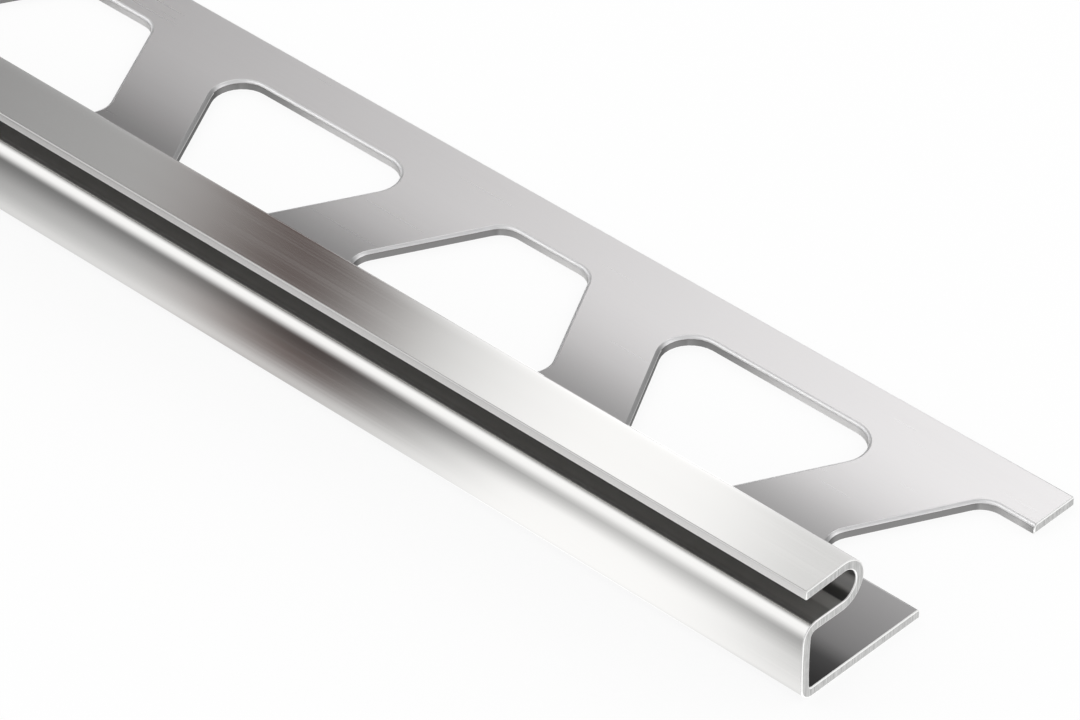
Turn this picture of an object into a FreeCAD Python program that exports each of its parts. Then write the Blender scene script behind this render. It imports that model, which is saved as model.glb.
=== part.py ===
import FreeCAD, Part

import math
import os

from FreeCAD import Vector

# Tile edge trim: one length of stainless steel strip, punched and then folded along its whole length.
# Seen from its right-hand end, the strip comes forward as the perforated leg that the tile adhesive
# grips, turns up at the heel into the front wall, turns back at the shoulder into a level web,
# and folds over the groove into the top lip, whose free edge stands above the wall.
# X runs along the length, -Y is the visible front and +Z is up. The origin is on the underside,
# in the middle of the length and of the depth. Sizes are in millimetres and angles in degrees.

# Overall sizes of the profile
LENGTH = 1000.0
HEIGHT = 10.0
DEPTH = 29.2
SHEET = 0.8

# Folds of the strip: the radii are on the inside of each fold
HEEL_RADIUS = 0.3
SHOULDER_RADIUS = 0.5
GROOVE_HEIGHT = 2.6

# Top lip: its free edge stays behind the face of the wall and hangs a little
LIP_WIDTH = 6.0
LIP_SETBACK = 0.15
LIP_DROOP = 2.0

# Perforations of the leg: trapezoids whose wide side is turned to the front and to the rear by turns.
# The holes that are wide at the front have the tighter corners.
HOLE_PITCH = 23.5
HOLE_REACH = 12.4
HOLE_WIDE_SIDE = 21.9
HOLE_NARROW_SIDE = 8.7
FRONT_WIDE_CORNER_RADIUS = 2.0
REAR_WIDE_CORNER_RADIUS = 2.4
HOLE_RIM_RADIUS = 0.3
REAR_STRIP = 4.4

# The web lies under the groove and the lip, and the fold between them has the groove as its bore
WEB_TOP = HEIGHT - SHEET - GROOVE_HEIGHT
FOLD_RADIUS = GROOVE_HEIGHT / 2
FOLD_CENTRE_Y = LIP_SETBACK + LIP_WIDTH - FOLD_RADIUS - SHEET

# Flat stretches of the strip between its folds
DROOP = math.radians(LIP_DROOP)
LEG_FLAT = DEPTH - SHEET - HEEL_RADIUS
WALL_FLAT = WEB_TOP - 2 * SHEET - HEEL_RADIUS - SHOULDER_RADIUS
WEB_FLAT = FOLD_CENTRE_Y - SHEET - SHOULDER_RADIUS
LIP_FLAT = (FOLD_CENTRE_Y - LIP_SETBACK - (FOLD_RADIUS + SHEET) * math.sin(DROOP)) / math.cos(DROOP)

# Places along Y: the rear edge of the leg and the two sides of the row of holes
REAR_Y = DEPTH / 2
HOLE_REAR_Y = REAR_Y - REAR_STRIP
HOLE_FRONT_Y = HOLE_REAR_Y - HOLE_REACH

# The right-hand end is sawn through the middle of the first hole, and the last one meets the other end
HOLE_COUNT = math.ceil((LENGTH + HOLE_WIDE_SIDE / 2) / HOLE_PITCH)


def turned(vector, degrees):
    """A vector turned in the plane of the section, from +Y towards +Z."""
    return FreeCAD.Rotation(Vector(1, 0, 0), degrees).multVec(vector)


def fold_face(start, centre, degrees):
    """One face of a fold as an arc about its centre, and the point where it ends."""
    middle = centre + turned(start - centre, degrees / 2)
    end = centre + turned(start - centre, degrees)
    return Part.Arc(start, middle, end).toShape(), end


def line(start, end):
    """A straight edge."""
    return Part.LineSegment(start, end).toShape()


def strip_section():
    """The section of the folded strip, as a face at the left-hand end of the length.

    The strip is followed from the rear edge of the leg to the free edge of the lip. Its left-hand
    face starts as the underside of the leg, and its right-hand face starts as the leg's top.
    """
    heading = Vector(0, -1, 0)
    left = Vector(-LENGTH / 2, REAR_Y, 0)
    right = left - turned(heading, 90) * SHEET
    edges = [line(right, left)]
    # Each stretch is a flat and the fold after it, which is positive where it turns to the left
    stretches = [
        (LEG_FLAT, -90, HEEL_RADIUS),
        (WALL_FLAT, -90, SHOULDER_RADIUS),
        (WEB_FLAT, 180 + LIP_DROOP, FOLD_RADIUS),
        (LIP_FLAT, 0, 0),
    ]
    for flat, fold, radius in stretches:
        ahead = heading * flat
        edges += [line(left, left + ahead), line(right, right + ahead)]
        left = left + ahead
        right = right + ahead
        if fold:
            inwards = turned(heading, math.copysign(90, fold)) * radius
            centre = (left if fold > 0 else right) + inwards
            left_arc, left = fold_face(left, centre, fold)
            right_arc, right = fold_face(right, centre, fold)
            edges += [left_arc, right_arc]
            heading = turned(heading, fold)
    edges.append(line(left, right))
    return Part.Face(Part.Wire(Part.__sortEdges__(edges)))


def rounded_outline(corners, radius):
    """A closed wire through the corners, each rounded by an arc."""
    edges = []
    starts = []
    ends = []
    for index, corner in enumerate(corners):
        back = (corners[index - 1] - corner).normalize()
        ahead = (corners[(index + 1) % len(corners)] - corner).normalize()
        half_angle = back.getAngle(ahead) / 2
        starts.append(corner + back * (radius / math.tan(half_angle)))
        ends.append(corner + ahead * (radius / math.tan(half_angle)))
        inwards = (back + ahead).normalize()
        middle = corner + inwards * (radius / math.sin(half_angle) - radius)
        edges.append(Part.Arc(starts[-1], middle, ends[-1]).toShape())
    for end, next_start in zip(ends, starts[1:] + starts[:1]):
        edges.append(line(end, next_start))
    return Part.Wire(Part.__sortEdges__(edges))


def hole_outline(wide_to_front):
    """The outline of a perforation whose middle is at X = 0."""
    sides = (HOLE_WIDE_SIDE, HOLE_NARROW_SIDE) if wide_to_front else (HOLE_NARROW_SIDE, HOLE_WIDE_SIDE)
    half_front = sides[0] / 2
    half_rear = sides[1] / 2
    corners = [
        Vector(-half_front, HOLE_FRONT_Y, 0),
        Vector(half_front, HOLE_FRONT_Y, 0),
        Vector(half_rear, HOLE_REAR_Y, 0),
        Vector(-half_rear, HOLE_REAR_Y, 0),
    ]
    return rounded_outline(corners, FRONT_WIDE_CORNER_RADIUS if wide_to_front else REAR_WIDE_CORNER_RADIUS)


def punched_out(wide_to_front):
    """What a perforation takes out of the leg: a straight hole with a rim drawn in at the top.

    The hole is made in a plain plate as thick as the strip, and the punched-out solid is what
    that plate has lost.
    """
    straight = Part.Face(hole_outline(wide_to_front)).extrude(Vector(0, 0, SHEET))
    margin = REAR_WIDE_CORNER_RADIUS
    width = HOLE_WIDE_SIDE + 2 * margin
    depth = HOLE_REACH + 2 * margin
    plate = Part.makeBox(width, depth, SHEET, Vector(-width / 2, HOLE_FRONT_Y - margin, 0))
    pierced = plate.cut(straight)
    top = max(pierced.Faces, key=lambda face: face.CenterOfMass.z)
    rims = [wire for wire in top.Wires if not wire.isSame(top.OuterWire)]
    return plate.cut(pierced.makeFillet(HOLE_RIM_RADIUS, rims[0].Edges))


def perforations():
    """The whole row of punched-out solids, from the right-hand end to the left."""
    by_turns = [punched_out(True), punched_out(False)]
    row = []
    for index in range(HOLE_COUNT):
        hole = by_turns[index % 2].copy()
        hole.translate(Vector(LENGTH / 2 - index * HOLE_PITCH, 0, 0))
        row.append(hole)
    return Part.makeCompound(row)


def edge_trim():
    """The whole trim: the folded strip without what the punch takes out of its leg."""
    strip = strip_section().extrude(Vector(LENGTH, 0, 0))
    return strip.cut(perforations())


os.makedirs("parts", exist_ok=True)
edge_trim().exportStep("parts/edge_trim.step")
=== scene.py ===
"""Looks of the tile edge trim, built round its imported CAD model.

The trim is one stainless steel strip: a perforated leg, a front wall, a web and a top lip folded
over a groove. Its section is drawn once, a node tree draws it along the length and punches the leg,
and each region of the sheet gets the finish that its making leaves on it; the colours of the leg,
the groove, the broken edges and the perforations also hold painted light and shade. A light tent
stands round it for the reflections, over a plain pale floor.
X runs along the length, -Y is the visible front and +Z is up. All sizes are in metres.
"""

import logging
import math
from collections.abc import Iterator, Sequence
from dataclasses import dataclass, field
from enum import Enum

import bmesh
import bpy
from mathutils import Matrix, Vector


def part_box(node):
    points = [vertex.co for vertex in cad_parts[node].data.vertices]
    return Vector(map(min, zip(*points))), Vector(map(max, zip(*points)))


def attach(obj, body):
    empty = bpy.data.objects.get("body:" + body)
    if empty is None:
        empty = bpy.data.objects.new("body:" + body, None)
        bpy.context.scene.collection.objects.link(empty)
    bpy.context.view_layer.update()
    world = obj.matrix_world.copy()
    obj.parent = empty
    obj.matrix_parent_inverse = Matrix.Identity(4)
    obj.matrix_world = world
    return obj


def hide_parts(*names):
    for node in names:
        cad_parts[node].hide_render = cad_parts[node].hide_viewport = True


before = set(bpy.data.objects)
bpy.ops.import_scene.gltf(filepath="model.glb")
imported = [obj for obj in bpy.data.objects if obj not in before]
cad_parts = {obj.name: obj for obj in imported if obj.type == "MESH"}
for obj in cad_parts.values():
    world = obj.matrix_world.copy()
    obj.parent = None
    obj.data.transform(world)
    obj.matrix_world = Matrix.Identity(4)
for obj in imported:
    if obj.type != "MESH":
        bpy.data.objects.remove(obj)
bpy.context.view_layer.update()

log = logging.getLogger("edge_trim")

MM = 0.001
# Places closer than this are one
SAME_PLACE = 0.001 * MM
BODY = "root"
CAD_NODE = "edge_trim"
# The perforations' painted light and shade follows the two attributes below
# Attributes that say how far a surface faces the front, and the rear and right together
FACES_FRONT = "faces_front"
FACES_REAR_RIGHT = "faces_rear_right"
# Ways in which a number changes
EASED = "SMOOTHSTEP"
STRAIGHT = "LINEAR"

Colour = tuple[float, float, float]
Stop = tuple[float, Colour]
Socket = bpy.types.NodeSocket
Sockets = bpy.types.bpy_prop_collection
SocketValue = float | int | bool | Sequence[float] | Socket | bpy.types.Material
Inputs = dict[str | int, SocketValue]


def grey(level: float) -> Colour:
    """Returns the neutral colour of a level."""
    return (level, level, level)


def placed(name: str, data: bpy.types.ID) -> bpy.types.Object:
    """Sets a new object in the scene.

    Args:
        name: the object's name.
        data: its mesh or camera.

    Returns:
        The object, at the origin.
    """
    thing = bpy.data.objects.new(name, data)
    bpy.context.scene.collection.objects.link(thing)
    return thing


# Node trees


class NodeBench:
    """Adds nodes to one node tree and joins them."""

    def __init__(self, tree: bpy.types.NodeTree) -> None:
        """Starts on a tree that is already there."""
        self.tree = tree

    def node(self, kind: str, values: Inputs | None = None, **settings: object) -> bpy.types.Node:
        """Adds one node.

        Args:
            kind: the node's type name.
            values: input names or numbers, each with a plain value or the output that feeds it.
            settings: the node's own properties.

        Returns:
            The new node.
        """
        node = self.tree.nodes.new(kind)
        for name, setting in settings.items():
            setattr(node, name, setting)
        for name, value in (values or {}).items():
            self.feed(node.inputs[name], value)
        return node

    def add(self, kind: str, values: Inputs | None = None, **settings: object) -> Socket:
        """Adds one node in the same way, and returns its first output."""
        return self.node(kind, values, **settings).outputs[0]

    def feed(self, socket: Socket, value: SocketValue) -> None:
        """Joins an output to an input, or writes a plain value on it.

        Args:
            socket: the input.
            value: an output socket or a plain value.
        """
        if isinstance(value, Socket):
            self.tree.links.new(value, socket)
        else:
            socket.default_value = value

    def maths(self, operation: str, *values: SocketValue) -> Socket:
        """Adds a Math node on the values, and returns the result's socket."""
        return self.add("ShaderNodeMath", dict(enumerate(values)), operation=operation)

    def vector_maths(self, operation: str, *values: SocketValue) -> Socket:
        """Adds a Vector Math node on the values, and returns the result's socket."""
        node = self.node("ShaderNodeVectorMath", dict(enumerate(values)), operation=operation)
        return next(socket for socket in node.outputs if socket.enabled)

    def vector(self, x: SocketValue = 0.0, y: SocketValue = 0.0, z: SocketValue = 0.0) -> Socket:
        """Returns the vector of three numbers."""
        return self.add("ShaderNodeCombineXYZ", {0: x, 1: y, 2: z})

    def parts_of(self, vector: Socket) -> Sockets:
        """Returns the three outputs that a vector is split into."""
        return self.node("ShaderNodeSeparateXYZ", {0: vector}).outputs

    def object_place(self) -> Socket:
        """Returns the place on the object, in a material."""
        return self.node("ShaderNodeTexCoord").outputs["Object"]

    def position(self) -> Sockets:
        """Returns the three parts of a point's place, in a geometry tree."""
        return self.parts_of(self.add("GeometryNodeInputPosition"))

    def normal(self) -> Sockets:
        """Returns the three parts of a surface's normal, in a geometry tree."""
        return self.parts_of(self.add("GeometryNodeInputNormal"))

    def ramp(self, factor: Socket, stops: Sequence[Stop], easing: str = STRAIGHT) -> Socket:
        """Adds a colour ramp.

        Args:
            factor: the number that the ramp reads.
            stops: place and colour of each stop, in rising order.
            easing: the ramp's interpolation.

        Returns:
            The colour's socket.
        """
        node = self.node("ShaderNodeValToRGB", {0: factor})
        ramp = node.color_ramp
        ramp.interpolation = easing
        while len(ramp.elements) < len(stops):
            ramp.elements.new(1.0)
        for element, (place, colour) in zip(ramp.elements, stops):
            element.position = place
            element.color = (*colour, 1.0)
        return node.outputs[0]

    def join(self, *parts: Socket) -> Socket:
        """Adds a Join Geometry node.

        Args:
            parts: the geometries to join, in order.

        Returns:
            The joined geometry.
        """
        node = self.node("GeometryNodeJoinGeometry")
        for part in parts:
            self.tree.links.new(part, node.inputs[0])
        return node.outputs[0]


@dataclass(frozen=True)
class Change:
    """A change of a number between two places, eased in and out or straight."""

    start: float
    end: float
    before: float = 0.0
    after: float = 1.0
    easing: str = EASED

    def draw(self, bench: NodeBench, place: Socket) -> Socket:
        """Adds a Map Range node on the number that tells the place, and returns its result."""
        span = {"Value": place, "From Min": self.start, "From Max": self.end,
                "To Min": self.before, "To Max": self.after}
        return bench.add("ShaderNodeMapRange", span, interpolation_type=self.easing, clamp=True)


# Finishes of the steel


class Region(Enum):
    """The regions of the sheet, each finished in its own way."""

    EDGE = "broken edges round the sawn ends"
    POLISHED = "heel, wall, shoulder, fold and lip"
    MILL = "leg and pocket"
    SAWN = "sawn ends"
    SHEARED = "walls of the perforations"
    GROOVE = "web and inside of the groove"
    RIM = "rounded rims of the perforations"
    SLIT = "long edges of the sheet"


Finishes = dict[Region, bpy.types.Material]


@dataclass(frozen=True)
class Grain:
    """A field of fine lines or grains, drawn by stretched noise on Object coordinates."""

    per_metre: tuple[float, float, float]
    detail: float = 2.0
    height: float = 0.0

    def draw(self, bench: NodeBench) -> Socket:
        """Adds the noise.

        Args:
            bench: the material's nodes.

        Returns:
            The noise, from 0 to 1.
        """
        stretch = {"Vector": bench.object_place(), "Scale": self.per_metre}
        place = bench.add("ShaderNodeMapping", stretch)
        grain = {"Vector": place, "Scale": 1.0, "Detail": self.detail}
        return bench.node("ShaderNodeTexNoise", grain).outputs["Fac"]


@dataclass(frozen=True)
class SteelFinish:
    """One finish of the stainless steel: its tone, its roughness and its fine lines."""

    name: str
    colour: Colour
    spread: float
    roughness: tuple[float, float]
    lines: Grain
    cloud: Grain
    lines_share: float = 0.7
    middle: float = 0.5
    contrast: float = 0.2

    def build(self) -> bpy.types.Material:
        """Makes the material.

        Returns:
            The finished material.
        """
        material = bpy.data.materials.new(self.name)
        material.use_nodes = True
        bench = NodeBench(material.node_tree)
        shader = material.node_tree.nodes["Principled BSDF"]
        shader.inputs["Metallic"].default_value = 1.0
        lines = self.lines.draw(bench)
        noises = ((lines, self.lines_share), (self.cloud.draw(bench), 1.0 - self.lines_share))
        drawn = [bench.maths("MULTIPLY", noise, share) for noise, share in noises]
        stretch = Change(self.middle - self.contrast, self.middle + self.contrast, easing=STRAIGHT)
        mixed = stretch.draw(bench, bench.maths("ADD", *drawn))
        # A finish's shade paints light and shade into its colour, where it has any
        tone = bench.vector_maths("MULTIPLY", self.plain(bench, mixed), self.shade(bench))
        bench.feed(shader.inputs["Base Color"], tone)
        roughness = Change(0.0, 1.0, *self.roughness, STRAIGHT)
        bench.feed(shader.inputs["Roughness"], roughness.draw(bench, mixed))
        if self.lines.height:
            relief = {"Height": lines, "Distance": self.lines.height}
            bench.feed(shader.inputs["Normal"], bench.add("ShaderNodeBump", relief))
        return material

    def plain(self, bench: NodeBench, mixed: Socket) -> Socket:
        """Adds the colour of the steel, a little lighter and darker along its lines."""
        tones = (1.0 - self.spread, 1.0 + self.spread)
        shades = [[min(part * tone, 1.0) for part in self.colour] for tone in tones]
        return bench.ramp(mixed, list(enumerate(shades)))

    def shade(self, bench: NodeBench) -> SocketValue:
        """Returns the share of the colour that each place keeps."""
        return grey(1.0)


@dataclass(frozen=True)
class PaintedShadeFinish(SteelFinish):
    """A finish with painted shade: its tone changes across the strip, between two places along Y."""

    front: float = -14.6 * MM
    rear: float = 9.4 * MM
    bed_level: float = 0.1 * MM
    # Shares of the colour across the strip; below 1 they are painted shade
    tones: tuple[tuple[float, float], ...] = ((0.0, 1.0), (1.0, 1.0))
    easing: str = "B_SPLINE"

    def shade(self, bench: NodeBench) -> SocketValue:
        """Adds the painted shade of the tones, and leaves the tile bed's side plain.

        Args:
            bench: the material's nodes.

        Returns:
            The share of the colour that each place keeps.
        """
        _, across, level = bench.parts_of(bench.object_place())
        stops = [(place, grey(tone)) for place, tone in self.tones]
        underside = bench.maths("LESS_THAN", level, self.bed_level)
        rearward = Change(self.front, self.rear, easing=STRAIGHT).draw(bench, across)
        place = bench.maths("MAXIMUM", rearward, underside)
        return bench.maths("MAXIMUM", bench.ramp(place, stops, self.easing), self.least(bench))

    def least(self, bench: NodeBench) -> SocketValue:
        """Returns the least share of the colour that the painted shade may leave."""
        return 0.0


@dataclass(frozen=True)
class LegPaintedShadeFinish(PaintedShadeFinish):
    """The leg's painted shade: deep in the pocket only near the ends, and kept light on the wall's back."""

    # Painted shadow in the pocket under the fold: deepest near the ends
    pocket: Change = Change(6.0 * MM, 22.0 * MM, 0.04, 0.44)
    # The painted shade thins out up the wall's back
    wall: Change = Change(1.0 * MM, 3.0 * MM, 0.0, 0.75)
    end_x: float = 500.0 * MM

    def least(self, bench: NodeBench) -> SocketValue:
        """Adds the least share of the colour that the painted shade may leave.

        Args:
            bench: the material's nodes.

        Returns:
            The share's socket.
        """
        along, _, level = bench.parts_of(bench.object_place())
        from_end = bench.maths("SUBTRACT", self.end_x, bench.maths("ABSOLUTE", along))
        return bench.maths("MAXIMUM", self.pocket.draw(bench, from_end), self.wall.draw(bench, level))


@dataclass(frozen=True)
class HolePaintedLightFinish(SteelFinish):
    """A finish with painted light and shade round a perforation, by the way that its wall faces."""

    facing: str = FACES_FRONT
    shares: tuple[tuple[float, float], ...] = ((-1.0, 1.0), (1.0, 1.0))
    # Share kept from the left of each hole to its right; below 1 it is painted shade
    left: Change = Change(0.2, 0.6, 1.0, 1.0)
    first_x: float = 500.0 * MM
    pitch: float = 23.5 * MM

    def shade(self, bench: NodeBench) -> SocketValue:
        """Adds painted light and shade by the way that the wall faces, and by the place across the hole.

        Args:
            bench: the material's nodes.

        Returns:
            The share of the colour that each place keeps.
        """
        facing = bench.node("ShaderNodeAttribute", attribute_name=self.facing).outputs["Fac"]
        stops = [((way + 1.0) / 2, grey(share)) for way, share in self.shares]
        by_facing = bench.ramp(Change(-1.0, 1.0, easing=STRAIGHT).draw(bench, facing), stops, "EASE")
        along, _, _ = bench.parts_of(bench.object_place())
        pitches = bench.maths("DIVIDE", bench.maths("SUBTRACT", along, self.first_x), self.pitch)
        # Each pitch runs from 0 on the left to 1 on the right, with its hole in the middle
        place = bench.maths("FRACT", bench.maths("ADD", pitches, 0.5))
        return bench.maths("MINIMUM", by_facing, self.left.draw(bench, place))


@dataclass
class SteelFinishes:
    """The finishes that the strip's making leaves on its regions, with painted light and shade on some."""

    # Broken edges: their light colour is a painted highlight
    edge: SteelFinish = SteelFinish(
        name="edge_steel_painted_highlight", colour=(0.9, 0.898, 0.89), spread=0.03, roughness=(0.34, 0.42),
        lines=Grain((900.0, 2600.0, 2600.0), 2.0, 0.5e-6), cloud=Grain((500.0, 500.0, 500.0)))
    polished: SteelFinish = SteelFinish(
        name="polished_steel", colour=(0.66, 0.655, 0.645), spread=0.01, roughness=(0.05, 0.08),
        lines=Grain((3.0, 5200.0, 5200.0), 3.0, 0.05e-6), cloud=Grain((40.0, 260.0, 260.0)))
    # The leg's tones are painted shade, darkest next to the fold under the lip
    mill: SteelFinish = LegPaintedShadeFinish(
        name="mill_steel_painted_shade", colour=(0.746, 0.734, 0.737), spread=0.008, roughness=(0.27, 0.31),
        lines=Grain((30.0, 3600.0, 3600.0), 2.0, 0.1e-6), cloud=Grain((120.0, 320.0, 320.0)),
        tones=((0.165, 0.04), (0.23, 0.24), (0.33, 0.29), (0.46, 0.38), (0.58, 0.46),
               (0.67, 0.63), (0.75, 0.78), (0.86, 0.92), (1.0, 1.0)))
    sawn: SteelFinish = SteelFinish(
        name="sawn_steel", colour=(0.45, 0.45, 0.445), spread=0.26, roughness=(0.34, 0.5),
        lines=Grain((500.0, 8200.0, 600.0), 1.0, 4.0e-6), cloud=Grain((2600.0, 2600.0, 2600.0)),
        lines_share=0.8, contrast=0.16)
    # Walls: painted light where they face the front, painted shade where they face away and on each hole's
    # left
    sheared: SteelFinish = HolePaintedLightFinish(
        name="sheared_steel_painted_light", colour=(0.82, 0.813, 0.81), spread=0.06, roughness=(0.5, 0.6),
        lines=Grain((900.0, 900.0, 2600.0), 3.0, 3.0e-6), cloud=Grain((1500.0, 1500.0, 1500.0)),
        facing=FACES_FRONT, shares=((-0.3, 0.15), (0.2, 0.31), (0.6, 0.31), (0.97, 1.0)),
        left=Change(0.2, 0.6, 0.4, 1.0))
    # The groove's tones are painted shade, darkest on the shoulder's lead and deep inside the fold
    groove: SteelFinish = PaintedShadeFinish(
        name="groove_steel_painted_shade", colour=(0.9, 0.89, 0.873), spread=0.05, roughness=(0.36, 0.44),
        lines=Grain((4.0, 1500.0, 1500.0), 2.0, 0.5e-6), cloud=Grain((80.0, 300.0, 300.0)),
        rear=-8.6 * MM, easing="EASE",
        tones=((0.14, 0.3), (0.165, 0.34), (0.2, 0.6), (0.26, 0.75), (0.46, 0.74), (0.495, 1.0),
               (0.66, 1.0), (0.69, 0.2), (0.785, 0.18), (0.828, 0.29), (0.865, 0.2), (0.9, 0.26)))
    # Rims: a light colour that paints their highlight, and painted shade where they face the rear and right
    rim: SteelFinish = HolePaintedLightFinish(
        name="rolled_rim_steel_painted_light", colour=(0.95, 0.945, 0.95), spread=0.02, roughness=(0.5, 0.56),
        lines=Grain((900.0, 900.0, 900.0), 2.0, 0.5e-6), cloud=Grain((300.0, 300.0, 300.0)),
        facing=FACES_REAR_RIGHT, shares=((-0.2, 1.0), (0.4, 0.36)))
    slit: SteelFinish = SteelFinish(
        name="slit_edge_steel", colour=(0.6, 0.596, 0.588), spread=0.03, roughness=(0.28, 0.34),
        lines=Grain((30.0, 2600.0, 5200.0), 2.0, 0.5e-6), cloud=Grain((300.0, 300.0, 300.0)))

    def build(self) -> Finishes:
        """Makes every finish, and returns the material of each region."""
        return {region: getattr(self, region.name.lower()).build() for region in Region}


# The folded section


@dataclass(frozen=True)
class OutlinePoint:
    """One point of the section's outline, and what finish the sheet has there."""

    y: float
    z: float
    mill: float = 0.0
    cut: float = 0.0
    groove: float = 0.0


@dataclass
class FoldedSection:
    """The section across the strip: leg, heel, wall, shoulder, web, fold and lip.

    The groove's finish starts some steps early, on the shoulder, and the pocket's finish goes on over
    a share of the fold.
    """

    height: float = 10.0 * MM
    depth: float = 29.2 * MM
    sheet: float = 0.8 * MM
    heel_radius: float = 0.3 * MM
    shoulder_radius: float = 0.5 * MM
    groove_height: float = 2.6 * MM
    lip_width: float = 6.0 * MM
    lip_setback: float = 0.15 * MM
    lip_droop: float = math.radians(2.0)
    wall_crown: float = math.radians(3.0)
    edge_break: float = 0.12 * MM
    bend_step: float = math.radians(5.0)
    crown_steps: int = 8
    edge_steps: int = 3
    groove_lead: int = 4
    pocket_share: float = 0.2

    def bends(self) -> Iterator[tuple[float, float, int]]:
        """Walks the sheet's middle line from the leg's rear edge to the lip's free edge.

        Yields:
            Length of each stretch, the angle it turns through and the steps it is drawn in.
        """
        half = self.sheet / 2
        heel, shoulder = self.heel_radius + half, self.shoulder_radius + half
        fold = self.groove_height / 2 + half
        crown, droop = self.wall_crown, self.lip_droop
        rise = self.height - 2 * self.sheet - self.groove_height
        wall = (rise - (heel + shoulder) * (1 - math.sin(crown))) / (2 * math.sin(crown))
        wall_line = half + wall * (1 - math.cos(crown))
        fold_centre = self.lip_setback + self.lip_width - fold - half
        corner = math.pi / 2 - crown
        yield self.depth - wall_line - heel * math.cos(crown), 0.0, 1
        yield heel * corner, -corner, round(corner / self.bend_step)
        yield wall * 2 * crown, -2 * crown, self.crown_steps
        yield shoulder * corner, -corner, round(corner / self.bend_step)
        yield fold_centre - wall_line - shoulder * math.cos(crown), 0.0, 1
        yield fold * (math.pi + droop), math.pi + droop, self.fold_steps()
        lip_reach = fold_centre - self.lip_setback - (fold + half) * math.sin(droop)
        yield lip_reach / math.cos(droop), 0.0, 1

    def fold_steps(self) -> int:
        """Returns the steps that the fold over the groove is drawn in."""
        return round((math.pi + self.lip_droop) / self.bend_step)

    def stations(self) -> list[tuple[Vector, Vector]]:
        """Follows the middle line.

        Returns:
            Place and heading at each step, in the plane of Y and Z.
        """
        place = Vector((self.depth / 2, self.sheet / 2))
        angle = math.pi
        found = [(place.copy(), Vector((math.cos(angle), math.sin(angle))))]
        for length, turn, steps in self.bends():
            step, part = length / steps, turn / steps
            chord = step if not turn else 2 * (length / abs(turn)) * math.sin(abs(part) / 2)
            for _ in range(steps):
                angle += part / 2
                place = place + chord * Vector((math.cos(angle), math.sin(angle)))
                angle += part / 2
                found.append((place.copy(), Vector((math.cos(angle), math.sin(angle)))))
        return found

    def cut_edge(self, place: Vector, heading: Vector, mill: float) -> list[OutlinePoint]:
        """Draws the edge that ends the sheet, with both corners broken.

        Args:
            place: the middle of the edge.
            heading: the way out of the sheet.
            mill: 1 where the sheet beside the edge has the mill's finish, and 0 elsewhere.

        Returns:
            The points of the edge, from the left-hand side of the heading to the right-hand side.
            The first and the last lie on the sheet's sides, so they aren't marked as cut.
        """
        left = Vector((-heading.y, heading.x))
        inset = self.edge_break
        places = []
        for side in (1.0, -1.0):
            centre = place - inset * heading + side * (self.sheet / 2 - inset) * left
            for step in range(self.edge_steps + 1):
                share = step / self.edge_steps
                angle = math.pi / 2 * (share if side > 0 else 1.0 - share)
                places.append(centre + inset * (side * math.cos(angle) * left + math.sin(angle) * heading))
        last = len(places) - 1
        return [OutlinePoint(*p, mill=mill, cut=float(0 < i < last)) for i, p in enumerate(places)]

    def outline(self) -> list[OutlinePoint]:
        """Draws both sides of the sheet and the two edges that end it.

        Returns:
            The points of the closed outline, in order.
        """
        stations = self.stations()
        half = self.sheet / 2
        left, right = [], []
        for place, heading in stations[1:-1]:
            across = half * Vector((-heading.y, heading.x))
            left.append(place + across)
            right.append(place - across)
        web_top = self.height - self.sheet - self.groove_height
        groove_from = next(i for i, p in enumerate(left) if p.y > web_top - SAME_PLACE) - self.groove_lead
        points = [OutlinePoint(*p, mill=float(i == 0), groove=float(i >= groove_from))
                  for i, p in enumerate(left)]
        lip_end, lip_heading = stations[-1]
        points += self.cut_edge(lip_end, lip_heading, mill=0.0)
        steps = self.fold_steps()
        polished_from = len(right) - steps + round(self.pocket_share * steps)
        points += reversed([OutlinePoint(*p, mill=float(i < polished_from)) for i, p in enumerate(right)])
        leg_end, leg_heading = stations[0]
        return points + self.cut_edge(leg_end, -leg_heading, mill=1.0)


# The strip


@dataclass
class PerforationRow:
    """The row of holes in the leg: trapezoids with rounded corners, turned about by turns."""

    pitch: float = 23.5 * MM
    reach: float = 12.4 * MM
    wide_side: float = 21.9 * MM
    narrow_side: float = 8.7 * MM
    front_wide_corner: float = 2.0 * MM
    rear_wide_corner: float = 2.4 * MM
    rim_radius: float = 0.3 * MM
    rear_strip: float = 4.4 * MM

    def middle(self, depth: float) -> float:
        """Returns where the middle of the row lies along Y."""
        return depth / 2 - self.rear_strip - self.reach / 2

    def count(self, length: float) -> int:
        """Returns how many punches are set, the first one on the strip's right-hand end."""
        return math.ceil((length + self.wide_side / 2) / self.pitch)


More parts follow.
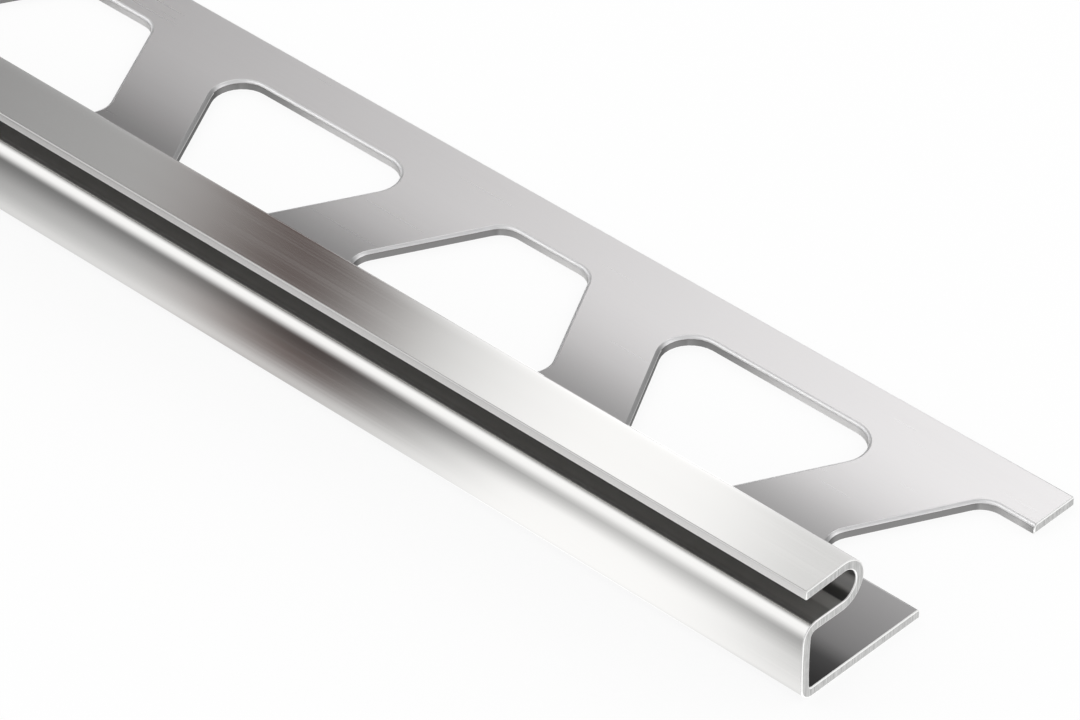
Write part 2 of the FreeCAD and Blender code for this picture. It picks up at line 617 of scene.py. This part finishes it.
@dataclass
class PunchedStrip:
    """The strip itself, drawn from its section and punched by a node tree."""

    section: FoldedSection = field(default_factory=FoldedSection)
    row: PerforationRow = field(default_factory=PerforationRow)
    length: float = 1000.0 * MM
    end_break: float = 0.1 * MM
    end_break_steps: int = 3
    corner_steps: int = 10
    rim_steps: int = 5
    flat_weight: int = 100
    name: str = "folded_strip"

    def section_mesh(self, edge_finish: bpy.types.Material) -> bpy.types.Mesh:
        """Makes the section's outline as a closed loop of edges.

        Args:
            edge_finish: the material of the broken edges, which the bevel reads from the first slot.

        Returns:
            The loop, with its finish written on its points.
        """
        points = self.section.outline()
        mesh = bpy.data.meshes.new("strip_section")
        edges = [(i, (i + 1) % len(points)) for i in range(len(points))]
        mesh.from_pydata([(0.0, p.y, p.z) for p in points], edges, [])
        for name in ("mill", "cut", "groove"):
            values = mesh.attributes.new(name, "FLOAT", "POINT")
            values.data.foreach_set("value", [getattr(p, name) for p in points])
        mesh.materials.append(edge_finish)
        return mesh

    def inputs(self, finishes: Finishes) -> Inputs:
        """Gives the tree's named inputs.

        Args:
            finishes: the material of each region.

        Returns:
            The value of each input by its name.
        """
        row = self.row
        sizes = {
            "Strip Length": self.length, "Sheet Thickness": self.section.sheet,
            "Hole Pitch": row.pitch, "Hole Count": row.count(self.length), "Hole Reach": row.reach,
            "Wide Side": row.wide_side, "Narrow Side": row.narrow_side,
            "Front Wide Corner": row.front_wide_corner, "Rear Wide Corner": row.rear_wide_corner,
            "Rim Radius": row.rim_radius, "Row Middle": row.middle(self.section.depth),
            "Corner Steps": self.corner_steps, "Rim Steps": self.rim_steps,
        }
        return sizes | {f"{region.name.title()} Finish": finishes[region] for region in Region}

    def shape(self, strip: bpy.types.Object, inputs: Inputs) -> None:
        """Draws and punches the section, breaks the end edges and lets the flat faces lead the shading.

        Args:
            strip: the section's object.
            inputs: the value of each of the tree's inputs by its name.
        """
        tree = StripTree(inputs).build()
        modifier = strip.modifiers.new("draw_and_punch", "NODES")
        modifier.node_group = tree
        for item in tree.interface.items_tree:
            if item.name in inputs:
                modifier[item.identifier] = inputs[item.name]
        edges = strip.modifiers.new("end_edges", "BEVEL")
        edges.limit_method = "WEIGHT"
        edges.width = self.end_break
        edges.segments = self.end_break_steps
        edges.material = 0
        edges.use_clamp_overlap = False
        normals = strip.modifiers.new("flat_faces_lead", "WEIGHTED_NORMAL")
        normals.keep_sharp = True
        normals.weight = self.flat_weight

    def build(self, finishes: Finishes) -> bpy.types.Object:
        """Makes the whole strip as one plain mesh.

        Args:
            finishes: the material of each region.

        Returns:
            The strip's object, at the origin.
        """
        strip = placed(self.name, self.section_mesh(finishes[Region.EDGE]))
        self.shape(strip, self.inputs(finishes))
        evaluated = strip.evaluated_get(bpy.context.evaluated_depsgraph_get())
        mesh = bpy.data.meshes.new_from_object(evaluated)
        strip.modifiers.clear()
        strip.data = mesh
        mesh.name = self.name
        return strip


@dataclass
class StripTree(NodeBench):
    """The node tree that draws the section along X, punches the leg and sets the finishes.

    A rim is drawn as far as its arc, and then flares out to cut the leg's top clearly. Slopes are
    the upright part of a face's normal, and shares are of a face's points.
    """

    inputs: Inputs
    crease: float = math.radians(40.0)
    end_corner: float = math.radians(60.0)
    rim_arc: float = math.radians(84.0)
    flare: float = 0.25
    flare_rise: float = 0.03
    leg_front: float = -12.0 * MM
    leg_slack: float = 0.01 * MM
    level_slope: float = 0.985
    upright_slope: float = 0.3
    broken_slope: float = 0.56
    broken_reach: float = 0.42
    all_share: float = 0.9
    most_share: float = 0.6
    some_share: float = 0.4

    def __post_init__(self) -> None:
        """Opens the tree and its named inputs."""
        super().__init__(bpy.data.node_groups.new("punched_strip", "GeometryNodeTree"))
        sockets = self.tree.interface
        sockets.new_socket("Geometry", in_out="INPUT", socket_type="NodeSocketGeometry")
        for name, value in self.inputs.items():
            kind = {int: "NodeSocketInt", float: "NodeSocketFloat"}.get(type(value), "NodeSocketMaterial")
            sockets.new_socket(name, in_out="INPUT", socket_type=kind)
        sockets.new_socket("Geometry", in_out="OUTPUT", socket_type="NodeSocketGeometry")
        self.given = self.tree.nodes.new("NodeGroupInput").outputs

    def build(self) -> bpy.types.NodeTree:
        """Adds every node.

        Returns:
            The finished tree.
        """
        add = self.add
        strip = self.dressed(self.drawn_strip(), Region.EDGE)
        punches = self.dressed(self.row(), Region.SHEARED)
        cut = add("GeometryNodeMeshBoolean", {0: strip, 1: punches}, operation="DIFFERENCE", solver="EXACT")
        marked = self.end_edges(add("GeometryNodeRealizeInstances", {0: cut}))
        shaded = add("GeometryNodeSetShadeSmooth", {0: marked}, domain="FACE")
        sharp = {0: shaded, 1: self.edges_over(self.crease), 2: False}
        creased = add("GeometryNodeSetShadeSmooth", sharp, domain="EDGE")
        last = self.finished(self.with_facing(creased))
        self.feed(self.tree.nodes.new("NodeGroupOutput").inputs[0], last)
        return self.tree

    def dressed(self, mesh: Socket, region: Region, where: SocketValue = True) -> Socket:
        """Gives a mesh the finish of a region, on the faces where it is wanted."""
        values = {0: mesh, "Selection": where, "Material": self.given[f"{region.name.title()} Finish"]}
        return self.add("GeometryNodeSetMaterial", values)

    def half_length(self) -> Socket:
        """Returns half the strip's length."""
        return self.maths("DIVIDE", self.given["Strip Length"], 2.0)

    def at_ends(self) -> Socket:
        """Returns 1 on the two sawn ends, and 0 elsewhere."""
        end = self.maths("SUBTRACT", self.half_length(), SAME_PLACE)
        return self.maths("GREATER_THAN", self.maths("ABSOLUTE", self.position()[0]), end)

    def edges_over(self, angle: float) -> Socket:
        """Returns 1 on the edges whose faces turn by more than an angle, and 0 elsewhere."""
        return self.maths("GREATER_THAN", self.add("GeometryNodeInputMeshEdgeAngle"), angle)

    def drawn_strip(self) -> Socket:
        """Draws the section along the length, with a ring of points between every two holes.

        Returns:
            The unpunched strip.
        """
        add, maths, given = self.add, self.maths, self.given
        half = self.half_length()
        line = add("GeometryNodeMeshLine", {"Count": maths("ADD", given["Hole Count"], 1.0)}, mode="OFFSET")
        # The first ring is the right-hand end, and the next one lies half a pitch further in
        steps = maths("MAXIMUM", maths("SUBTRACT", add("GeometryNodeInputIndex"), 0.5), 0.0)
        along = maths("SUBTRACT", half, maths("MULTIPLY", steps, given["Hole Pitch"]))
        along = maths("MAXIMUM", along, maths("MULTIPLY", half, -1.0))
        stations = add("GeometryNodeSetPosition", {0: line, "Position": self.vector(along)})
        path = add("GeometryNodeMeshToCurve", {0: stations})
        _, across, height = self.position()
        turned = self.vector(across, maths("MULTIPLY", height, -1.0))
        flat = add("GeometryNodeSetPosition", {0: given["Geometry"], "Position": turned})
        profile = add("GeometryNodeMeshToCurve", {0: flat})
        return add("GeometryNodeCurveToMesh", {"Curve": path, "Profile Curve": profile, "Fill Caps": True})

    def rim_line(self) -> Socket:
        """Draws the section of the punch's wall: upright, then out round the rim, and a flare.

        Returns:
            The open curve.
        """
        add, maths, given = self.add, self.maths, self.given
        radius, sheet = given["Rim Radius"], given["Sheet Thickness"]
        rim_start = maths("SUBTRACT", sheet, radius)
        number = add("GeometryNodeInputIndex")
        share = maths("DIVIDE", maths("MAXIMUM", maths("SUBTRACT", number, 1.0), 0.0), given["Rim Steps"])
        angle = maths("MULTIPLY", maths("MINIMUM", share, 1.0), self.rim_arc)
        outward = maths("SUBTRACT", radius, maths("MULTIPLY", radius, maths("COSINE", angle)))
        upward = maths("ADD", rim_start, maths("MULTIPLY", radius, maths("SINE", angle)))
        # The first point is the punch's lower end, and the one beyond the arc is the flare's end
        first = maths("LESS_THAN", number, 0.5)
        beyond = maths("MULTIPLY", maths("GREATER_THAN", share, 1.01), radius)
        fall = maths("SUBTRACT", maths("MULTIPLY", sheet, -1.0), rim_start)
        upward = maths("ADD", upward, maths("MULTIPLY", first, fall))
        upward = maths("ADD", upward, maths("MULTIPLY", beyond, self.flare_rise))
        outward = maths("ADD", outward, maths("MULTIPLY", beyond, self.flare))
        line = add("GeometryNodeMeshLine", {"Count": maths("ADD", given["Rim Steps"], 3.0)}, mode="OFFSET")
        place = self.vector(outward, maths("MULTIPLY", upward, -1.0))
        bent = add("GeometryNodeSetPosition", {0: line, "Position": place})
        return add("GeometryNodeMeshToCurve", {0: bent})

    def punch(self, corner_radius: Socket) -> Socket:
        """Makes the solid that leaves one hole, with its rim drawn in at the top.

        Args:
            corner_radius: the radius of the hole's corners.

        Returns:
            The closed solid, centred on the origin, with its wide side to the front.
        """
        add, given = self.add, self.given
        sizes = {"Height": given["Hole Reach"], "Bottom Width": given["Wide Side"],
                 "Top Width": given["Narrow Side"], "Offset": 0.0}
        sharp = add("GeometryNodeCurvePrimitiveQuadrilateral", sizes, mode="TRAPEZOID")
        rounding = {"Curve": sharp, "Radius": corner_radius, "Count": given["Corner Steps"]}
        outline = add("GeometryNodeFilletCurve", rounding, mode="POLY")
        wall = add("GeometryNodeCurveToMesh", {"Curve": outline, "Profile Curve": self.rim_line()})
        wall = add("GeometryNodeFlipFaces", {0: wall})
        # An edge of an open end has one face, and every other edge has two
        bounded = self.maths("LESS_THAN", add("GeometryNodeInputMeshEdgeNeighbors"), 1.5)
        rings = add("GeometryNodeMeshToCurve", {0: wall, "Selection": bounded})
        joined = self.join(wall, self.caps(rings))
        return add("GeometryNodeMergeByDistance", {0: joined, "Distance": SAME_PLACE})

    def caps(self, rings: Socket) -> Socket:
        """Closes the punch at both ends, each at the height of its own ring.

        Args:
            rings: the two open ends, as curves.

        Returns:
            The two end faces.
        """
        add, maths = self.add, self.maths
        upper = maths("GREATER_THAN", self.position()[2], 0.0)
        split = self.node("GeometryNodeSeparateGeometry", {0: rings, 1: upper}, domain="CURVE")
        sheet, radius = self.given["Sheet Thickness"], self.given["Rim Radius"]
        rim_rise = maths("MULTIPLY", radius, math.sin(self.rim_arc) + self.flare_rise)
        top = maths("ADD", maths("SUBTRACT", sheet, radius), rim_rise)
        bottom = maths("MULTIPLY", sheet, -1.0)
        faces = []
        for ring, level in zip(split.outputs, (top, bottom)):
            face = add("GeometryNodeFillCurve", {0: ring}, mode="NGONS")
            lift = {0: face, "Translation": self.vector(z=level)}
            faces.append(add("GeometryNodeTransform", lift))
        return self.join(faces[0], add("GeometryNodeFlipFaces", {0: faces[1]}))

    def row(self) -> Socket:
        """Sets a punch at every pitch: its wide side is at the front and at the rear by turns.

        Returns:
            All the punches, as one mesh.
        """
        add, maths, given = self.add, self.maths, self.given
        start = self.vector(self.half_length(), given["Row Middle"])
        step = self.vector(maths("MULTIPLY", given["Hole Pitch"], -1.0))
        places = {"Count": given["Hole Count"], "Start Location": start, "Offset": step}
        line = add("GeometryNodeMeshLine", places, mode="OFFSET")
        odd = maths("MODULO", add("GeometryNodeInputIndex"), 2.0)
        even = maths("SUBTRACT", 1.0, odd)
        sets = []
        for corner, picked, turn in (("Front Wide Corner", even, 0.0), ("Rear Wide Corner", odd, math.pi)):
            values = {"Points": line, "Instance": self.punch(given[corner]), "Selection": picked,
                      "Rotation": (0.0, 0.0, turn)}
            sets.append(add("GeometryNodeInstanceOnPoints", values))
        return add("GeometryNodeRealizeInstances", {0: self.join(*sets)})

    def stored(self, strip: Socket, name: str, value: Socket, domain: str) -> Socket:
        """Writes a number on the strip's points or edges, and returns the strip."""
        store = {0: strip, "Name": name, "Value": value}
        return self.add("GeometryNodeStoreNamedAttribute", store, domain=domain)

    def end_edges(self, strip: Socket) -> Socket:
        """Marks the edges round both sawn ends for the bevel, and returns the strip."""
        weight = self.maths("MULTIPLY", self.at_ends(), self.edges_over(self.end_corner))
        return self.stored(strip, "bevel_weight_edge", weight, "EDGE")

    def with_facing(self, strip: Socket) -> Socket:
        """Writes on every point how far its surface faces the front, and the rear and right together.

        Args:
            strip: the punched strip.

        Returns:
            The strip with both attributes.
        """
        # The perforations' finishes read both attributes to paint light and shade
        maths, normal = self.maths, self.normal()
        level = self.vector_maths("NORMALIZE", self.vector(normal[0], normal[1]))
        right, rear, _ = self.parts_of(level)
        strip = self.stored(strip, FACES_FRONT, maths("MULTIPLY", rear, -1.0), "POINT")
        return self.stored(strip, FACES_REAR_RIGHT, maths("MINIMUM", right, rear), "POINT")

    def over(self, name: str, share: float) -> Socket:
        """Returns 1 where more than a share of a face's points has a mark of the section."""
        return self.maths("GREATER_THAN", self.add("GeometryNodeInputNamedAttribute", {0: name}), share)

    def finished(self, strip: Socket) -> Socket:
        """Sets the finish of every region of the sheet. A later one covers an earlier one.

        Args:
            strip: the punched strip.

        Returns:
            The strip with its materials.
        """
        maths = self.maths
        _, across, height = self.position()
        leg_top = maths("ADD", self.given["Sheet Thickness"], self.leg_slack)
        in_leg = maths("MULTIPLY", maths("LESS_THAN", height, leg_top),
                       maths("GREATER_THAN", across, self.leg_front))
        slope = maths("ABSOLUTE", self.normal()[2])
        level = maths("GREATER_THAN", slope, self.level_slope)
        leg_face = maths("MULTIPLY", in_leg, level)
        upright = maths("LESS_THAN", slope, self.upright_slope)
        rounded = maths("SUBTRACT", 1.0, maths("ADD", level, upright))
        broken = maths("MULTIPLY", self.over("cut", self.some_share),
                       maths("COMPARE", slope, self.broken_slope, self.broken_reach))
        picks = {
            Region.POLISHED: True,
            Region.GROOVE: self.over("groove", self.most_share),
            Region.MILL: maths("MAXIMUM", self.over("mill", self.all_share), leg_face),
            Region.SHEARED: maths("MULTIPLY", in_leg, upright),
            Region.SLIT: maths("MAXIMUM", self.over("cut", self.all_share), broken),
            Region.RIM: maths("MULTIPLY", in_leg, rounded),
            Region.SAWN: self.at_ends(),
        }
        for region, where in picks.items():
            strip = self.dressed(strip, region, where)
        return strip


# The studio


@dataclass
class PhotoCamera:
    """The camera at the photograph's angle, placed from the trim's near lower corner."""

    azimuth: float = math.radians(43.462)
    elevation: float = math.radians(38.106)
    focal_px: float = 5819.266
    photo_width_px: float = 1080.0
    sensor: float = 36.0
    nearest: float = 10.0 * MM
    leftward: float = 17.704 * MM
    upward: float = 23.372 * MM
    back: float = 395.183 * MM

    def build(self, corner: Vector) -> None:
        """Sets the camera.

        Args:
            corner: the trim's lower front corner at its right-hand end.
        """
        a, e = self.azimuth, self.elevation
        right = Vector((math.cos(a), math.sin(a), 0.0))
        forward = Vector((-math.sin(a) * math.cos(e), math.cos(a) * math.cos(e), -math.sin(e)))
        up = right.cross(forward)
        data = bpy.data.cameras.new("camera")
        data.sensor_width = self.sensor
        data.lens = self.sensor * self.focal_px / self.photo_width_px
        data.clip_start = self.nearest
        camera = placed("camera", data)
        turn = Matrix((right, up, -forward)).transposed()
        place = corner - self.leftward * right + self.upward * up - self.back * forward
        camera.matrix_world = Matrix.LocRotScale(place, turn.to_quaternion(), None)
        bpy.context.scene.camera = camera


@dataclass
class PaleFloor:
    """The plain pale floor just under the trim, which keeps the trim's shadow."""

    size: float = 240.0
    drop: float = 0.1 * MM
    colour: Colour = grey(0.97)
    roughness: float = 0.9
    white_share: float = 0.85

    def build(self) -> None:
        """Lays the floor: matt, and in good part plain white to the camera.

        Reflections don't show it, because the tent's light foot stands for it there.
        """
        material = bpy.data.materials.new("pale_floor")
        material.use_nodes = True
        nodes = material.node_tree.nodes
        bench = NodeBench(material.node_tree)
        shader = nodes["Principled BSDF"]
        shader.inputs["Base Color"].default_value = (*self.colour, 1.0)
        shader.inputs["Roughness"].default_value = self.roughness
        shader.inputs["Specular IOR Level"].default_value = 0.0
        white = bench.add("ShaderNodeEmission", {"Color": (*grey(1.0), 1.0)})
        path = bench.node("ShaderNodeLightPath").outputs
        mirrored = bench.maths("MAXIMUM", path["Is Glossy Ray"], path["Is Transmission Ray"])
        seen = bench.maths("MAXIMUM", path["Is Camera Ray"], mirrored)
        share = bench.maths("MULTIPLY", seen, self.white_share)
        mixed = bench.add("ShaderNodeMixShader", {0: share, 1: shader.outputs[0], 2: white})
        bench.feed(nodes["Material Output"].inputs["Surface"], mixed)
        half = self.size / 2
        corners = ((-half, -half), (half, -half), (half, half), (-half, half))
        mesh = bpy.data.meshes.new("floor")
        mesh.from_pydata([(x, y, -self.drop) for x, y in corners], [], [(0, 1, 2, 3)])
        mesh.materials.append(material)
        floor = placed("floor", mesh)
        floor.visible_glossy = False


class TentBench(NodeBench):
    """A bench on the tent's material, which tells a place on the tent by its side and its turn.

    The side is its direction's part along X. The turn is its angle about X in degrees, from straight
    in front over the top to the rear.
    """

    lowest_turn: float = -120.0
    highest_turn: float = 240.0

    def __init__(self, tree: bpy.types.NodeTree) -> None:
        """Starts on the material's tree, and finds the place.

        Args:
            tree: the material's node tree.
        """
        super().__init__(tree)
        self.direction = self.vector_maths("NORMALIZE", self.object_place())
        self.side, across, up = self.parts_of(self.direction)
        turn = self.maths("DEGREES", self.maths("ARCTAN2", up, self.maths("MULTIPLY", across, -1.0)))
        self.turn = self.maths("WRAP", turn, self.highest_turn, self.lowest_turn)

    def by_side(self, change: Change) -> Socket:
        """Adds a change along X, and returns the share."""
        return change.draw(self, self.side)

    def by_turn(self, change: Change) -> Socket:
        """Adds a change round X, and returns the share."""
        return change.draw(self, self.turn)


@dataclass
class LightTent:
    """The light tent: a large sphere of panels and flags that only the steel's reflections see."""

    radius: float = 60.0
    fineness: int = 4
    flags_angle: float = math.radians(0.35)
    flags_span: Change = Change(0.391, 0.691, easing=STRAIGHT)
    flags: tuple[Stop, ...] = (
        (0.0, grey(1.7)), (0.17, grey(1.6)), (0.24, grey(1.0)), (0.31, grey(1.0)), (0.355, grey(1.38)),
        (0.41, grey(1.53)), (0.475, grey(1.32)), (0.515, grey(1.02)), (0.553, (0.445, 0.425, 0.418)),
        (0.578, (0.175, 0.145, 0.138)), (0.6, (0.145, 0.11, 0.103)), (0.625, (0.26, 0.23, 0.22)),
        (0.655, (0.52, 0.5, 0.495)), (0.68, grey(0.57)), (0.75, grey(0.48)), (1.0, grey(0.15)),
    )
    panels: tuple[Stop, ...] = (
        (0.35, grey(1.0)), (0.45, grey(0.35)), (0.575, grey(0.35)), (0.7, grey(0.65)))
    front_level: float = 0.6
    low_front: Change = Change(-48.6, -41.6, 0.7, 0.0)
    low_side: Change = Change(-0.522, -0.503, 1.0, 0.7)
    rear: Change = Change(95.0, 120.0, 0.0, 0.4)
    dusk_level: float = 0.0
    dusk_left: Change = Change(-0.577, -0.549, 0.0, 0.34)
    dusk_right: Change = Change(-0.549, -0.522, 0.34, 0.08)
    dusk_top: Change = Change(-30.0, -20.0, 1.0, 0.0)
    ceiling_level: float = 0.3
    ceiling_front: Change = Change(62.0, 80.0)
    ceiling_rear: Change = Change(100.0, 120.0, 1.0, 0.0)
    foot_level: float = 1.42
    foot_front: Change = Change(-47.5, -61.0)
    foot_rear: Change = Change(219.0, 232.0)
    foot_most: Change = Change(-0.4, 0.0, 0.5, 1.0, STRAIGHT)
    soft_level: float = 1.42
    soft_front: Change = Change(-25.0, 40.0)
    soft_rear: Change = Change(56.0, 90.0, 1.0, 0.0)
    soft_side: Change = Change(0.0, 0.4, 1.0, 0.0)
    brightest: float = 1.45
    toe: Change = Change(-57.0, -95.0, 1.0, 0.87)

    def panelled(self, bench: TentBench) -> Socket:
        """Draws the flags and the panels along X, lighter low in front and at the rear.

        Args:
            bench: the tent material's nodes.

        Returns:
            The light's colour.
        """
        across = (-math.cos(self.flags_angle), -math.sin(self.flags_angle), 0.0)
        place = bench.vector_maths("DOT_PRODUCT", bench.direction, across)
        flags = bench.ramp(self.flags_span.draw(bench, place), self.flags)
        panels = bench.ramp(bench.by_side(Change(-1.0, 1.0, easing=STRAIGHT)), self.panels)
        light = bench.vector_maths("MULTIPLY", flags, panels)
        low = bench.maths("MULTIPLY", bench.by_turn(self.low_front), bench.by_side(self.low_side))
        front = bench.maths("ADD", low, self.front_level)
        level = bench.maths("ADD", front, bench.by_turn(self.rear))
        return bench.add("ShaderNodeVectorMath", {0: light, "Scale": level}, operation="SCALE")

    def parts(self, bench: TentBench) -> list[tuple[Socket, float]]:
        """Draws the parts of the light that lie over the panels.

        Args:
            bench: the tent material's nodes.

        Returns:
            Share and level of the dusk low in front beside the flags, the dimmer ceiling, the light
            foot that stands for the pale floor, and the soft light in front and above.
        """
        maths, side, turn = bench.maths, bench.by_side, bench.by_turn
        dusk = maths("MINIMUM", side(self.dusk_left), side(self.dusk_right))
        dusk = maths("MULTIPLY", dusk, turn(self.dusk_top))
        ceiling = maths("MULTIPLY", turn(self.ceiling_front), turn(self.ceiling_rear))
        foot = maths("MAXIMUM", turn(self.foot_front), turn(self.foot_rear))
        foot = maths("MINIMUM", foot, side(self.foot_most))
        soft = maths("MULTIPLY", turn(self.soft_front), turn(self.soft_rear))
        soft = maths("MULTIPLY", soft, side(self.soft_side))
        return [(dusk, self.dusk_level), (ceiling, self.ceiling_level),
                (foot, self.foot_level), (soft, self.soft_level)]

    def colour(self, bench: TentBench) -> Socket:
        """Draws the tent's light: its panels, and over them the other parts at their own levels.

        Args:
            bench: the tent material's nodes.

        Returns:
            The light's colour.
        """
        light = self.panelled(bench)
        for share, level in self.parts(bench):
            values = {0: share, 6: light, 7: (*grey(level), 1.0)}
            light = bench.node("ShaderNodeMix", values, data_type="RGBA").outputs[2]
        light = bench.vector_maths("MINIMUM", light, grey(self.brightest))
        return bench.vector_maths("MULTIPLY", light, bench.by_turn(self.toe))

    def build(self) -> None:
        """Hangs the tent, hidden from all but reflections."""
        material = bpy.data.materials.new("tent_light")
        material.use_nodes = True
        material.cycles.emission_sampling = "NONE"
        nodes = material.node_tree.nodes
        nodes.remove(nodes["Principled BSDF"])
        bench = TentBench(material.node_tree)
        light = bench.add("ShaderNodeEmission", {"Color": self.colour(bench)})
        bench.feed(nodes["Material Output"].inputs["Surface"], light)
        mesh = bpy.data.meshes.new("light_tent")
        shell = bmesh.new()
        bmesh.ops.create_icosphere(shell, subdivisions=self.fineness, radius=self.radius)
        shell.to_mesh(mesh)
        shell.free()
        mesh.materials.append(material)
        tent = placed("light_tent", mesh)
        for ray in ("camera", "diffuse", "shadow", "transmission"):
            setattr(tent, f"visible_{ray}", False)


@dataclass
class Studio:
    """The camera, the plain world, the pale floor and the light tent."""

    camera: PhotoCamera = field(default_factory=PhotoCamera)
    floor: PaleFloor = field(default_factory=PaleFloor)
    tent: LightTent = field(default_factory=LightTent)

    def world(self) -> None:
        """Makes the plain white world."""
        world = bpy.data.worlds.new("white_world")
        world.use_nodes = True
        background = world.node_tree.nodes["Background"]
        background.inputs["Color"].default_value = (*grey(1.0), 1.0)
        bpy.context.scene.world = world

    def build(self, corner: Vector) -> None:
        """Sets up everything round the trim.

        Args:
            corner: the trim's lower front corner at its right-hand end.
        """
        bpy.context.scene.view_settings.view_transform = "Standard"
        self.camera.build(corner)
        self.world()
        self.floor.build()
        self.tent.build()


def report(piece: bpy.types.Object) -> None:
    """Logs a finished piece's name and size.

    Args:
        piece: the finished object.
    """
    low, high = (Vector(piece.bound_box[0]), Vector(piece.bound_box[6]))
    size = [round(part / MM, 3) for part in high - low]
    log.info("%s: %d faces, %s mm", piece.name, len(piece.data.polygons), size)


def main() -> None:
    """Builds the trim and its studio, and ties the trim to the frame."""
    logging.basicConfig(level=logging.INFO, format="%(message)s")
    low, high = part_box(CAD_NODE)
    Studio().build(Vector((high.x, low.y, 0.0)))
    finishes = SteelFinishes().build()
    strip = PunchedStrip().build(finishes)
    report(strip)
    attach(strip, BODY)
    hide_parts(CAD_NODE)


if __name__ == "__main__":
    main()
